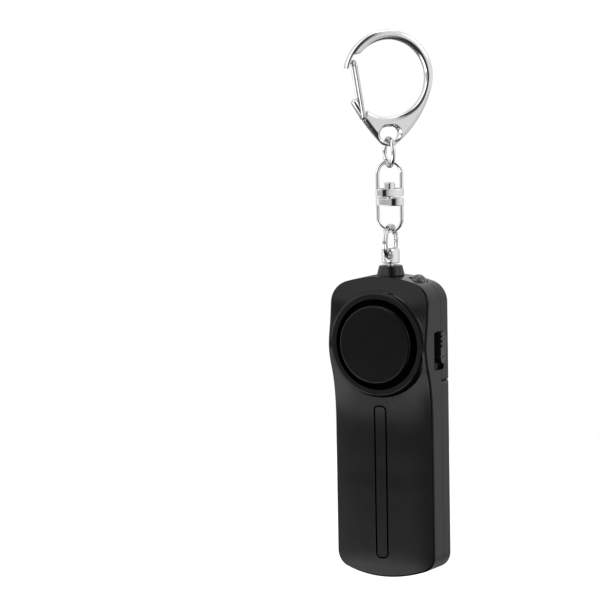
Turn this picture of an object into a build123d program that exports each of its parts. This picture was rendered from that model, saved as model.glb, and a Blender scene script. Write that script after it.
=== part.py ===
from build123d import *
from math import cos, radians, sin, sqrt

# A pull-pin personal alarm hanging from a snap hook. The origin is the inner crown of the
# hook. Z points up, the front of the housing faces -Y and its switch is on the +X side.
# Lengths are millimetres and angles are degrees.

# Fits and cutting
running_gap = 0.05
panel_gap = 0.12
press_gap = 0.02
overrun = 1.0

# Snap hook, turned about the vertical against the housing
hook_turn_angle = 46
hook_inner_radius = 11.2
hook_outer_radius = 13.4
hook_crown_band = 2.75
hook_thickness = 3.0
hook_edge_round = 0.42
hook_corner_round = 0.6
hook_tip_round = 0.33
hook_length = 30.9
hook_shoulder_angle = -15
hook_apex_angle = -50
hook_flank_angle = 222
hook_horn_angle = 214
hook_throat_angle = 222
horn_tip_angle = 211.5
hook_lip_angle = 138
nose_root_angle = 148
nose_end_angle = 168
nose_wall = 1.05
eye_width = 5.8
eye_height = 4.3
eye_bar = 1.45
eye_bevel = 0.7
eye_gap = 0.3

# Sprung wire gate of the hook
gate_wire = 1.2
gate_tip_overlap = 1.89
gate_lean_angle = 8.8
gate_travel_angle = 26
gate_foot_drop = 11.2
gate_foot_reach = 7.85
gate_foot_gap = 0.3
gate_bend_radius = 0.75
gate_top_radius = 1.1
gate_pocket_depth = 0.85
gate_pocket_reach = 7.2
gate_pocket_clearance = 0.12

# Jump ring and split ring
jump_ring_diameter = 9.3
jump_ring_wire = 1.25
jump_ring_opening_angle = 5
jump_ring_joint_angle = 50
split_ring_diameter = 10.2
split_ring_wire = 1.25
split_ring_notch = 0.4
split_ring_end_angle = 95
split_ring_spread_angle = 8
split_ring_corner_share = 0.35
link_gap = 0.15

# Two-part swivel
swivel_loop_width = 8.4
swivel_upper_height = 10.65
swivel_lower_height = 10.1
swivel_wire = 1.1
swivel_base_height = 2.2
swivel_base_depth = 4.8
swivel_base_gap = 0.5
swivel_lower_turn_angle = 8
swivel_base_round = 0.2
rivet_head_diameter = 3.2
rivet_head_height = 1.6
rivet_diameter = 1.8

# Pull pin and its plastic foot
pin_head_diameter = 5.2
pin_head_height = 4.1
pin_head_chamfer = 0.25
pin_eye_diameter = 2.5
pin_eye_above_foot = 2.25
pin_eye_countersink = 0.6
pin_neck_height = 0.7
pin_diameter = 1.95
pin_reach = 11.5
pin_tip_round = 0.6
pin_foot_top = 6.6
pin_foot_base = 7.6
pin_foot_height = 2.7
pin_foot_corner = 3.1
pin_foot_edge_round = 0.3

# Housing
body_width = 32.1
body_height = 88.0
body_crown_radius = 40.0
body_top_corner = 6.3
body_bottom_corner = 4.8
body_rear_depth = 5.5
body_rear_round = 1.4
seam_groove = 0.16
wall = 1.2
front_edge_round = 0.6
# Front face of the slab in even steps down the housing, from just above its top: depth at
# the edges and depth at the middle. It ramps up to the speaker and falls to the grip.
slab_pitch = 5.5
slab_crown = ((6.4, 6.3), (7.0, 8.4), (7.9, 9.3))
slab_speaker = ((8.8, 9.5), (9.4, 9.5), (8.1, 8.6))
slab_waist = ((6.5, 8.3), (5.8, 8.1))
slab_grip = (5.6, 7.9)
slab_grip_steps = 8
slab_toe = ((5.5, 7.6), (5.1, 6.9))

# Speaker well, collar and cap
speaker_drop = 19.4
collar_depth = 9.5
# Rounded outer side of the collar, from its flat rim to below the slab: radius and depth
collar_crest = (14.6, 9.5)
collar_shoulder = (15.05, 9.3)
collar_flank = (15.5, 8.7)
collar_foot = (16.2, 6.3)
well_diameter = 26.5
well_depth = 3.5
cap_diameter = 23.0
cap_thickness = 2.3
cap_proud = 1.4
cap_edge_round = 0.7
cap_post_circle = 15.0
cap_post_diameter = 2.2
cap_post_count = 4
sound_port_circle = 15.0
sound_port_diameter = 3.4
sound_port_count = 4
sound_port_angle = 45

# Groove and bar on the lower front
groove_top_drop = 37.3
groove_bottom_drop = 82.5
groove_width = 4.2
groove_corner = 1.6
bar_width = 3.2
bar_corner = 1.1
groove_depth = 0.7

# Piezo siren
siren_seat_height = 0.8
siren_seat_wall = 1.1
brass_diameter = 26.4
brass_thickness = 0.25
ceramic_diameter = 19.0
ceramic_thickness = 0.3
clamp_ring_width = 1.6
clamp_ring_thickness = 1.1

# Light
light_inset = 7.05
light_diameter = 5.0
light_length = 8.6
light_flange_diameter = 5.8
light_flange_height = 1.0
light_proud = 1.5
light_lead = 0.5
light_lead_pitch = 2.54
light_opening_clearance = 0.3

# Side switch
switch_top_drop = 15.8
switch_slot_length = 11.2
switch_slot_width = 3.3
knob_length = 9.3
knob_width = 3.1
knob_proud = 0.8
knob_rib_rise = 0.3
knob_rib_pitch = 1.37
knob_rib_count = 3
knob_rib_width = 0.75
knob_rib_share = 0.8
knob_flange_length = 13.4
knob_flange_width = 4.6
knob_flange_thickness = 1.1
knob_slit_width = 0.4
knob_slit_drop = 7.2
scoop_front = 4.3
scoop_depth = 1.05
scoop_corner = 0.8
switch_body_length = 8.6
switch_body_width = 3.6
switch_body_depth = 3.4
switch_body_round = 0.2
actuator_length = 2.0
actuator_width = 1.3
actuator_slot_length = 5.2

# Circuit board and what it carries
board_side_gap = 2.05
board_top_drop = 10.5
board_length = 18.4
board_thickness = 1.0
board_front = 1.7
board_post_diameter = 2.6
chip_length = 4.9
chip_width = 3.9
chip_height = 1.5
chip_drop = 22.0
chip_offset = 4.5
chip_leads_per_side = 4
chip_lead_pitch = 1.27
chip_lead_width = 0.42
chip_lead_reach = 1.05
chip_lead_thickness = 0.25
coil_diameter = 6.0
coil_height = 3.8
coil_waist = 4.4
coil_flange = 0.8
coil_drop = 25.0
coil_offset = 6.0
contact_block_width = 7.0
contact_block_depth = 4.2
contact_block_top_drop = 4.2
contact_block_height = 9.6
leaf_thickness = 0.3
leaf_width = 1.8
leaf_length = 6.0
leaf_gap = 0.1

# Battery bay
cell_diameter = 10.3
cell_length = 44.5
cell_nub_diameter = 3.8
cell_nub_height = 0.8
cell_edge_round = 0.5
cell_pitch = 10.8
cell_depth = 0.95
bay_top_drop = 36.3
bay_wall = 1.0
contact_plate_thickness = 0.4
contact_plate_size = 8.0
bay_spring_length = 2.6
bay_spring_diameter = 5.6
bay_spring_wire = 0.6
bay_spring_turns = 3
bay_wall_top = 3.9

# Battery door and screws
door_split_drop = 30.5
door_lip_width = 8.0
door_lip_thickness = 1.0
door_lip_reach = 2.5
door_lip_root = 4.0
door_thumb_width = 9.0
door_thumb_pitch = 1.3
door_thumb_count = 5
door_thumb_depth = 0.35
door_thumb_drop = 5.0
door_notch = 0.7
screw_inset = 4.75
screw_drop = 32.6
screw_diameter = 1.7
screw_head_diameter = 3.2
screw_head_height = 1.0
screw_ear_radius = 2.3
screw_ear_thickness = 1.7
screw_boss_diameter = 4.0
screw_slot_length = 2.4
screw_slot_width = 0.5
screw_slot_depth = 0.4


def on_circle(radius, angle, centre_height):
    return (radius * cos(radians(angle)), centre_height + radius * sin(radians(angle)))


def upright_plane(turn, origin=(0, 0, 0)):
    """Vertical plane whose face looks to the front, turned about Z."""
    return Plane(
        origin=origin,
        x_dir=(cos(radians(turn)), sin(radians(turn)), 0),
        z_dir=(sin(radians(turn)), -cos(radians(turn)), 0),
    )


def save(piece, name):
    piece.part.label = name
    export_step(piece.part, f"parts/{name}.step")


# Heights down the chain, each hung from the one above
hook_half = hook_thickness / 2
hook_outer_height = hook_crown_band - hook_outer_radius
hook_inner_height = -hook_inner_radius
apex_radius = eye_height / 2 + eye_bar
eye_height_centre = -(hook_length - apex_radius)
eye_floor = eye_height_centre - eye_height / 2

jump_mean = (jump_ring_diameter - jump_ring_wire) / 2
jump_height = eye_floor + eye_gap + jump_ring_wire / 2 - jump_mean
jump_bottom = jump_height - jump_mean

swivel_loop_outer = swivel_loop_width / 2
swivel_top = jump_bottom + jump_ring_wire / 2 + link_gap + swivel_wire
swivel_upper_bottom = swivel_top - swivel_upper_height
swivel_lower_top = swivel_upper_bottom - swivel_base_gap
swivel_lower_bottom = swivel_lower_top - swivel_lower_height

split_mean = (split_ring_diameter - split_ring_wire) / 2
split_top = swivel_lower_bottom + swivel_wire + link_gap + split_ring_wire / 2
split_height = split_top - split_mean
split_bottom = split_height - split_mean

pin_eye_height = split_bottom - split_ring_wire / 2 - link_gap + pin_eye_diameter / 2
pin_head_bottom = pin_eye_height - pin_eye_above_foot
pin_foot_top_height = pin_head_bottom - pin_neck_height
pin_foot_bottom = pin_foot_top_height - pin_foot_height

body_top = pin_foot_bottom - running_gap
body_bottom = body_top - body_height
body_half = body_width / 2

# Snap hook
hook_plane = upright_plane(hook_turn_angle)
gate_foot = (-gate_foot_reach, hook_inner_height - gate_foot_drop)
nose_end_height = hook_outer_height + (hook_outer_radius - nose_wall) * sin(
    radians(nose_end_angle)
)
gate_rise_height = nose_end_height + gate_tip_overlap - gate_foot[1]
gate_length = gate_rise_height / cos(radians(gate_lean_angle))
gate_hole_radius = gate_wire / 2 + running_gap
pocket_radius = gate_wire / 2 + gate_pocket_clearance


def along_gate(reach, angle):
    return (
        gate_foot[0] - reach * sin(radians(angle)),
        gate_foot[1] + reach * cos(radians(angle)),
    )


pocket_angles = (gate_lean_angle, gate_lean_angle - gate_travel_angle)
pocket_ends = [along_gate(gate_pocket_reach, angle) for angle in pocket_angles]
pocket_centres = [along_gate(gate_pocket_reach / 2, angle) for angle in pocket_angles]

with BuildPart() as hook_body:
    with BuildSketch(hook_plane) as hook_outline:
        with BuildLine():
            nose_tip = on_circle(hook_outer_radius, nose_end_angle, hook_outer_height)
            shoulder = on_circle(hook_outer_radius, hook_shoulder_angle, hook_outer_height)
            ThreePointArc(nose_tip, (0, hook_crown_band), shoulder)
            apex_right = on_circle(apex_radius, hook_apex_angle, eye_height_centre)
            down = on_circle(1, hook_shoulder_angle - 90, 0)
            TangentArc(shoulder, apex_right, tangent=down)
            apex_left = on_circle(apex_radius, hook_flank_angle, eye_height_centre)
            ThreePointArc(apex_right, (0, -hook_length), apex_left)
            horn_outer = on_circle(hook_outer_radius, hook_horn_angle, hook_outer_height)
            up = on_circle(1, hook_flank_angle - 90, 0)
            TangentArc(apex_left, horn_outer, tangent=up)
            horn_middle = (hook_outer_radius + hook_inner_radius) / 2
            horn_tip = on_circle(horn_middle, horn_tip_angle, hook_outer_height)
            throat = on_circle(hook_inner_radius, hook_throat_angle, hook_inner_height)
            ThreePointArc(horn_outer, horn_tip, throat)
            lip = on_circle(hook_inner_radius, hook_lip_angle, hook_inner_height)
            ThreePointArc(throat, (hook_inner_radius, hook_inner_height), lip)
            nose_inner = hook_outer_radius - nose_wall
            nose_root = on_circle(nose_inner, nose_root_angle, hook_outer_height)
            Line(lip, nose_root)
            nose_middle = on_circle(
                nose_inner, (nose_root_angle + nose_end_angle) / 2, hook_outer_height
            )
            nose_inside = on_circle(nose_inner, nose_end_angle, hook_outer_height)
            ThreePointArc(nose_root, nose_middle, nose_inside)
            Line(nose_inside, nose_tip)
        make_face()
        for corner, corner_round in (
            (lip, hook_corner_round),
            (nose_root, hook_corner_round),
            (nose_tip, hook_tip_round),
            (nose_inside, hook_tip_round),
            (throat, hook_tip_round),
            (horn_outer, hook_tip_round),
        ):
            fillet(hook_outline.vertices().sort_by_distance((*corner, 0))[0], corner_round)
    extrude(amount=hook_half, both=True)
    across = Axis((0, 0, 0), hook_plane.z_dir)
    rims = hook_body.faces().sort_by(across)[0].edges()
    rims += hook_body.faces().sort_by(across)[-1].edges()
    fillet(rims, hook_edge_round)
    with BuildSketch(hook_plane):
        with Locations((0, eye_height_centre)):
            SlotOverall(eye_width, eye_height)
    extrude(amount=hook_half, both=True, mode=Mode.SUBTRACT)
    flats = hook_body.faces().filter_by(GeomType.PLANE).sort_by(across)
    eye_rims = flats[0].inner_wires()[0].edges() + flats[-1].inner_wires()[0].edges()
    chamfer(eye_rims, eye_bevel)
    for side in (1, -1):
        with BuildSketch(hook_plane.offset(side * (hook_half - gate_pocket_depth))):
            for centre, pocket_end in zip(pocket_centres, pocket_ends):
                SlotCenterPoint(centre, pocket_end, 2 * pocket_radius)
            Polygon(gate_foot, *pocket_ends, align=None)
        extrude(amount=side * (gate_pocket_depth + overrun), mode=Mode.SUBTRACT)
    with BuildSketch(hook_plane):
        with Locations(gate_foot):
            Circle(gate_hole_radius)
    extrude(amount=hook_half, both=True, mode=Mode.SUBTRACT)
save(hook_body, "hook_body")

gate_half = hook_half - gate_pocket_depth + gate_pocket_clearance + gate_wire / 2
gate_rise = hook_plane.x_dir * -sin(radians(gate_lean_angle)) + Vector(0, 0, cos(radians(gate_lean_angle)))
gate_plane = Plane(
    origin=hook_plane.from_local_coords(Vector(*gate_foot, 0)),
    x_dir=hook_plane.z_dir,
    z_dir=hook_plane.z_dir.cross(gate_rise),
)

with BuildPart() as hook_gate:
    with BuildLine(gate_plane) as gate_path:
        FilletPolyline(
            (gate_foot_gap / 2, 0),
            (gate_half, 0),
            (gate_half, gate_length),
            (-gate_half, gate_length),
            (-gate_half, 0),
            (-gate_foot_gap / 2, 0),
            radius=[gate_bend_radius, gate_top_radius, gate_top_radius, gate_bend_radius],
        )
    with BuildSketch(Plane(origin=gate_path.line @ 0, z_dir=gate_path.line % 0)):
        Circle(gate_wire / 2)
    sweep()
save(hook_gate, "hook_gate")


# Rings
def ring_section(turn, centre_height, angle):
    """Plane through a ring's section, at an angle from its lowest point to the rear."""
    side = upright_plane(turn)
    outward = Vector(0, 0, -cos(radians(angle))) - side.z_dir * sin(radians(angle))
    return Plane(
        origin=(0, 0, centre_height), x_dir=side.x_dir, z_dir=side.x_dir.cross(outward)
    )


with BuildPart() as top_jump_ring:
    with BuildSketch(ring_section(hook_turn_angle, jump_height, jump_ring_joint_angle)):
        with Locations((0, jump_mean)):
            Circle(jump_ring_wire / 2)
    revolve(
        axis=Axis((0, 0, jump_height), hook_plane.x_dir), revolution_arc=360 - jump_ring_opening_angle
    )
save(top_jump_ring, "top_jump_ring")

split_plane = upright_plane(swivel_lower_turn_angle)
turn_width = split_ring_wire / 2
with BuildPart() as lower_split_ring:
    with BuildSketch(ring_section(swivel_lower_turn_angle, split_height, split_ring_end_angle)):
        with Locations((turn_width / 2, split_mean), (-turn_width / 2, split_mean)):
            RectangleRounded(turn_width + press_gap, split_ring_wire, turn_width * split_ring_corner_share)
    revolve(axis=Axis((0, 0, split_height), split_plane.x_dir))
    for side in (1, -1):
        end_plane = ring_section(
            swivel_lower_turn_angle, split_height, split_ring_end_angle + side * split_ring_spread_angle
        )
        with BuildSketch(end_plane):
            with Locations((side * (turn_width / 2 + press_gap), split_mean)):
                Rectangle(turn_width, split_ring_wire + overrun)
        extrude(amount=split_ring_notch / 2, both=True, mode=Mode.SUBTRACT)
save(lower_split_ring, "lower_split_ring")

# Swivel
loop_mean = swivel_loop_outer - swivel_wire / 2


def swivel_loop(turn, arch_height, base_height, points_up):
    """Wire arch over a short drum; the arch points up or down from the drum."""
    plane = upright_plane(turn)
    direction = 1 if points_up else -1
    leg_end = base_height + swivel_base_height / 2
    with BuildPart() as loop:
        with BuildSketch(Plane.XY.offset(base_height)):
            Ellipse(swivel_loop_outer, swivel_base_depth / 2, rotation=turn)
        extrude(amount=swivel_base_height)
        fillet(loop.edges().filter_by(Plane.XY), swivel_base_round)
        with BuildLine(plane) as arch:
            Line((-loop_mean, leg_end), (-loop_mean, arch_height))
            ThreePointArc(
                (-loop_mean, arch_height),
                (0, arch_height + direction * loop_mean),
                (loop_mean, arch_height),
            )
            Line((loop_mean, arch_height), (loop_mean, leg_end))
        with BuildSketch(Plane(origin=arch.line @ 0, z_dir=arch.line % 0)):
            Circle(swivel_wire / 2)
        sweep()
    return loop


upper_arch_height = swivel_top - swivel_loop_outer
lower_arch_height = swivel_lower_bottom + swivel_loop_outer

with BuildPart() as swivel_upper_loop:
    add(swivel_loop(hook_turn_angle, upper_arch_height, swivel_upper_bottom, True).part)
    with BuildSketch(Plane.XY.offset(swivel_upper_bottom)):
        Circle(rivet_diameter / 2 + running_gap)
    extrude(amount=swivel_base_height, mode=Mode.SUBTRACT)
save(swivel_upper_loop, "swivel_upper_loop")

swivel_lower_floor = swivel_lower_top - swivel_base_height
with BuildPart() as swivel_lower_loop:
    add(swivel_loop(swivel_lower_turn_angle, lower_arch_height, swivel_lower_floor, False).part)
    with BuildSketch(Plane.XY.offset(swivel_lower_floor)):
        Circle(rivet_diameter / 2 + press_gap)
    extrude(amount=swivel_base_height, mode=Mode.SUBTRACT)
save(swivel_lower_loop, "swivel_lower_loop")

rivet_seat = swivel_upper_bottom + swivel_base_height + running_gap
with BuildPart() as swivel_rivet:
    with BuildSketch(Plane.XY.offset(swivel_lower_floor)):
        Circle(rivet_diameter / 2)
    extrude(amount=rivet_seat - swivel_lower_floor)
    with BuildSketch(Plane.XY.offset(rivet_seat)):
        Circle(rivet_head_diameter / 2)
    extrude(amount=rivet_head_height)
    fillet(swivel_rivet.edges().sort_by(Axis.Z)[-1], swivel_base_round)
save(swivel_rivet, "swivel_rivet")

# Pull pin
pin_radius = pin_diameter / 2
pin_tip = pin_foot_bottom - pin_reach
pin_eye_plane = upright_plane(swivel_lower_turn_angle, (0, 0, pin_eye_height))
pin_head_radius = pin_head_diameter / 2
with BuildPart() as pull_pin:
    with BuildSketch(Plane.XY.offset(pin_tip)):
        Circle(pin_radius)
    extrude(amount=pin_head_bottom - pin_tip)
    fillet(pull_pin.edges().sort_by(Axis.Z)[0], pin_tip_round)
    with BuildSketch(Plane.XY.offset(pin_head_bottom)):
        Circle(pin_head_radius)
    extrude(amount=pin_head_height)
    head_rims = pull_pin.edges().filter_by(GeomType.CIRCLE).filter_by(
        lambda edge: edge.radius == pin_head_radius
    )
    chamfer(head_rims, pin_head_chamfer)
    with BuildSketch(pin_eye_plane):
        Circle(pin_eye_diameter / 2)
    extrude(amount=pin_head_radius, both=True, mode=Mode.SUBTRACT)
    for side in (1, -1):
        with BuildSketch(pin_eye_plane.offset(side * pin_head_radius)):
            Circle(pin_eye_diameter / 2 + pin_eye_countersink)
        extrude(amount=-side * pin_eye_countersink, taper=45, mode=Mode.SUBTRACT)
save(pull_pin, "pull_pin")

with BuildPart() as pin_foot:
    with BuildSketch(Plane.XY.offset(pin_foot_bottom)):
        RectangleRounded(pin_foot_base, pin_foot_base, pin_foot_corner)
    with BuildSketch(Plane.XY.offset(pin_foot_top_height)):
        RectangleRounded(pin_foot_top, pin_foot_top, pin_foot_corner)
    loft()
    fillet(pin_foot.faces().sort_by(Axis.Z)[-1].edges(), pin_foot_edge_round)
    with BuildSketch(Plane.XY.offset(pin_foot_bottom)):
        Circle(pin_radius + press_gap)
    extrude(amount=pin_foot_height, mode=Mode.SUBTRACT)
save(pin_foot, "pin_foot")

# Housing forms
body_front = Plane.XZ
crown_drop = body_crown_radius - sqrt(body_crown_radius**2 - body_half**2)
slab_stations = (
    *slab_crown, *slab_speaker, *slab_waist, *([slab_grip] * slab_grip_steps), *slab_toe
)
speaker_height = body_top - speaker_drop
well_radius = well_diameter / 2
well_floor = collar_depth - well_depth
speaker_plane = Plane(origin=(0, 0, speaker_height), x_dir=(1, 0, 0), z_dir=(0, -1, 0))
speaker_axis = Axis((0, 0, speaker_height), (0, 1, 0))


def body_outline(inset):
    """Front outline of the housing, drawn in from its edge."""
    with BuildSketch(body_front) as outline:
        with BuildLine():
            top = ThreePointArc(
                (-body_half, body_top - crown_drop), (0, body_top), (body_half, body_top - crown_drop)
            )
            foot = ThreePointArc(
                (-body_half, body_bottom + crown_drop),
                (0, body_bottom),
                (body_half, body_bottom + crown_drop),
            )
            Line(top @ 0, foot @ 0)
            Line(top @ 1, foot @ 1)
        make_face()
        corners = outline.vertices().group_by(Axis.Y)
        fillet(corners[-1], body_top_corner)
        fillet(outline.vertices().group_by(Axis.Y)[0], body_bottom_corner)
        if inset:
            offset(amount=-inset)
    return outline.sketch


def slab_form(inset):
    """Crowned front of the housing from the seam forward."""
    reach = body_half + overrun

    def section(height, edge, middle):
        outer = middle - (middle - edge) * (reach / body_half) ** 2
        with BuildSketch(Plane.XY.offset(height)) as cut:
            with BuildLine():
                face = ThreePointArc(
                    (-reach, inset - outer), (0, inset - middle), (reach, inset - outer)
                )
                Polyline(face @ 1, (reach, 0), (-reach, 0), face @ 0)
            make_face()
        return cut.sketch

    with BuildPart() as form:
        loft([
            section(body_top + overrun - step * slab_pitch, edge, middle)
            for step, (edge, middle) in enumerate(slab_stations)
        ])
    return form.part


def collar_form(inset):
    """Collar round the speaker, as a solid of revolution."""
    profile = [
        (inset - depth, speaker_height + radius - inset / 2)
        for radius, depth in (collar_crest, collar_shoulder, collar_flank, collar_foot)
    ]
    with BuildPart() as form:
        with BuildSketch(Plane.YZ):
            with BuildLine():
                side = Spline(*profile)
                Polyline(
                    side @ 1,
                    (0, profile[-1][1]),
                    (0, speaker_height),
                    (inset - collar_depth, speaker_height),
                    side @ 0,
                )
            make_face()
        revolve(axis=speaker_axis)
    return form.part


def front_form(inset):
    with BuildPart() as prism:
        extrude(body_outline(inset), amount=collar_depth + overrun)
    with BuildPart() as form:
        add(slab_form(inset))
        add(prism.part, mode=Mode.INTERSECT)
        if not inset:
            fillet(form.faces().sort_by(Axis.Y)[0].edges(), front_edge_round)
        add(collar_form(inset) & prism.part)
    return form.part


# Openings that the two shells share
light_offset = body_half - light_inset
light_plane_top = body_top - crown_drop * (light_offset / body_half) ** 2
light_top = light_plane_top + light_proud
light_opening_radius = light_diameter / 2 + light_opening_clearance
pin_hole_radius = pin_radius + running_gap * 2
switch_top = body_top - switch_top_drop
switch_middle = switch_top - switch_slot_length / 2
side_plane = Plane(origin=(body_half, 0, switch_middle), x_dir=(0, 1, 0), z_dir=(1, 0, 0))
inner_half = body_half - wall
inner_rear = body_rear_depth - wall

with BuildPart() as top_openings:
    with BuildSketch(Plane.XY.offset(body_top + overrun)):
        Circle(pin_hole_radius)
        with Locations((light_offset, 0)):
            Circle(light_opening_radius)
    extrude(amount=-(contact_block_top_drop + overrun))

with BuildPart() as switch_opening:
    with BuildSketch(side_plane.offset(overrun)):
        SlotOverall(switch_slot_length, switch_slot_width, rotation=90)
    extrude(amount=-(wall * 2 + overrun))
    with BuildSketch(Plane.XY.offset(switch_middle)) as scoop_section:
        with BuildLine():
            Polyline(
                (body_half + overrun, -scoop_front),
                (body_half, -scoop_front),
                (body_half - scoop_depth, -switch_slot_width / 2),
                (body_half - scoop_depth, switch_slot_width / 2),
                (body_half + overrun, switch_slot_width / 2),
                close=True,
            )
        make_face()
    scoop_wedge = extrude(amount=switch_slot_length / 2, both=True, mode=Mode.PRIVATE)
    scoop_width = scoop_front + switch_slot_width / 2
    with BuildSketch(side_plane.offset(overrun)):
        with Locations((switch_slot_width / 2 - scoop_width / 2, 0)):
            RectangleRounded(scoop_width, switch_slot_length, scoop_corner)
    scoop_outline = extrude(amount=-(scoop_depth + overrun), mode=Mode.PRIVATE)
    add(scoop_wedge & scoop_outline)

# Front shell
cup_radius = well_radius + wall
cup_floor = well_floor - wall
siren_seat = cup_floor - siren_seat_height
brass_radius = brass_diameter / 2
bay_top = body_top - bay_top_drop
bay_bottom = bay_top - 2 * contact_plate_thickness - cell_length - bay_spring_length
groove_top = body_top - groove_top_drop
groove_bottom = body_top - groove_bottom_drop
groove_middle = (groove_top + groove_bottom) / 2
groove_length = groove_top - groove_bottom
groove_line = (groove_width - bar_width) / 2
screw_offset = body_half - screw_inset
screw_height = body_top - screw_drop
ear_rear = inner_rear - panel_gap
ear_front = ear_rear - screw_ear_thickness
boss_radius = screw_boss_diameter / 2
screw_radius = screw_diameter / 2
board_width = 2 * (inner_half - board_side_gap)
board_top = body_top - board_top_drop
board_bottom = board_top - board_length
board_middle = (board_top + board_bottom) / 2
board_rear = board_front + board_thickness
post_pitch_across = board_width - 2 * board_post_diameter
post_pitch_down = board_length - 2 * board_post_diameter

with BuildPart() as rear_space:
    extrude(body_outline(wall / 2), amount=-inner_rear)
rear_block = rear_space.part

with BuildPart() as front_shell:
    add(front_form(0))
    add(front_form(wall), mode=Mode.SUBTRACT)
    with BuildSketch(speaker_plane.offset(cup_floor)):
        Circle(cup_radius)
    extrude(amount=collar_depth - cup_floor)
    with BuildSketch(speaker_plane.offset(siren_seat)):
        Circle(brass_radius)
        Circle(brass_radius - siren_seat_wall, mode=Mode.SUBTRACT)
    extrude(amount=siren_seat_height)
    with BuildSketch(speaker_plane.offset(well_floor)):
        Circle(well_radius)
    extrude(amount=well_depth + overrun, mode=Mode.SUBTRACT)
    with BuildSketch(speaker_plane.offset(cup_floor - overrun)):
        with PolarLocations(
            sound_port_circle / 2, sound_port_count, start_angle=sound_port_angle
        ):
            Circle(sound_port_diameter / 2)
        with PolarLocations(cap_post_circle / 2, cap_post_count):
            Circle(cap_post_diameter / 2 + press_gap)
    extrude(amount=wall + 2 * overrun, mode=Mode.SUBTRACT)
    # Groove with its raised bar, cut to one depth below the crowned face
    with BuildSketch(body_front):
        with Locations((0, groove_middle)):
            RectangleRounded(groove_width, groove_length, groove_corner)
            RectangleRounded(
                bar_width, groove_length - 2 * groove_line, bar_corner, mode=Mode.SUBTRACT
            )
    groove_tool = extrude(amount=collar_depth, mode=Mode.PRIVATE)
    add(groove_tool - slab_form(groove_depth), mode=Mode.SUBTRACT)
    # Cross walls of the battery bay and the screw bosses, grown into the shell's wall
    with BuildSketch(body_front.offset(-bay_wall_top)):
        for height in (bay_top + bay_wall / 2, bay_bottom - bay_wall / 2):
            with Locations((0, height)):
                Rectangle(2 * cell_pitch, bay_wall)
    bay_walls = extrude(amount=bay_wall_top + collar_depth, mode=Mode.PRIVATE)
    with BuildSketch(body_front.offset(-ear_front)):
        with Locations((screw_offset, screw_height), (-screw_offset, screw_height)):
            Circle(boss_radius)
    bosses = extrude(amount=ear_front + collar_depth, mode=Mode.PRIVATE)
    inside = rear_block + front_form(wall / 2)
    add(bay_walls & inside)
    add(bosses & inside)
    with BuildSketch(body_front.offset(-ear_front)):
        with Locations((screw_offset, screw_height), (-screw_offset, screw_height)):
            Circle(screw_radius + press_gap)
    extrude(amount=ear_front + wall, mode=Mode.SUBTRACT)
    add(top_openings.part, mode=Mode.SUBTRACT)
    add(switch_opening.part, mode=Mode.SUBTRACT)
save(front_shell, "front_shell")

# Rear shell and battery door, cut from one rear form
door_split = body_top - door_split_drop
lip_rear = inner_rear - panel_gap
with BuildPart() as rear_form:
    extrude(body_outline(0), amount=-body_rear_depth)
    fillet(rear_form.faces().sort_by(Axis.Y)[-1].edges(), body_rear_round)
    chamfer(rear_form.faces().sort_by(Axis.Y)[0].edges(), seam_groove)
    extrude(body_outline(wall), amount=-inner_rear, mode=Mode.SUBTRACT)
    # Notches at both sides where the door meets the shell
    with BuildSketch(body_front.offset(-body_rear_depth)):
        for side in (1, -1):
            with Locations((side * body_half, door_split)):
                Rectangle(door_notch * sqrt(2), door_notch * sqrt(2), rotation=45)
    extrude(amount=body_rear_depth, mode=Mode.SUBTRACT)

with BuildPart() as rear_shell:
    add(rear_form.part)
    split(bisect_by=Plane.XY.offset(door_split + panel_gap / 2), keep=Keep.TOP)
    # Ears under the battery door, each on a web from the shell
    for side in (1, -1):
        with BuildSketch(body_front.offset(-ear_rear)):
            with Locations((side * screw_offset, screw_height)):
                Circle(screw_ear_radius)
            with Locations((side * screw_offset, (screw_height + door_split + wall) / 2)):
                Rectangle(2 * screw_ear_radius, door_split + wall - screw_height)
        extrude(amount=screw_ear_thickness)
    with BuildSketch(body_front.offset(-inner_rear)):
        with Locations(
            (screw_offset, door_split + wall), (-screw_offset, door_split + wall)
        ):
            Rectangle(2 * screw_ear_radius, wall)
    extrude(amount=panel_gap)
    for side in (1, -1):
        with BuildSketch(body_front.offset(-ear_rear)):
            with Locations((side * screw_offset, screw_height)):
                Circle(screw_radius + running_gap)
        extrude(amount=screw_ear_thickness, mode=Mode.SUBTRACT)
        with BuildSketch(body_front.offset(-ear_rear)):
            with Locations((side * screw_offset, screw_height)):
                Circle(screw_head_diameter / 2 + running_gap)
        extrude(amount=screw_head_height + running_gap, mode=Mode.SUBTRACT)
    # Lip that the top of the battery door closes over
    with BuildSketch(body_front.offset(-lip_rear)):
        with Locations((0, door_split + (door_lip_root - door_lip_reach) / 2)):
            Rectangle(door_lip_width, door_lip_root + door_lip_reach)
    extrude(amount=door_lip_thickness)
    with BuildSketch(body_front.offset(-inner_rear)):
        with Locations((0, door_split + (door_lip_root + panel_gap) / 2)):
            Rectangle(door_lip_width, door_lip_root - panel_gap)
    extrude(amount=panel_gap)
    # Posts that carry the circuit board
    with BuildSketch(body_front.offset(-board_rear)):
        with Locations((0, board_middle)):
            with GridLocations(post_pitch_across, post_pitch_down, 2, 2):
                Circle(board_post_diameter / 2)
    extrude(amount=-(inner_rear - board_rear))
    add(top_openings.part, mode=Mode.SUBTRACT)
    add(switch_opening.part, mode=Mode.SUBTRACT)
save(rear_shell, "rear_shell")

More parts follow.
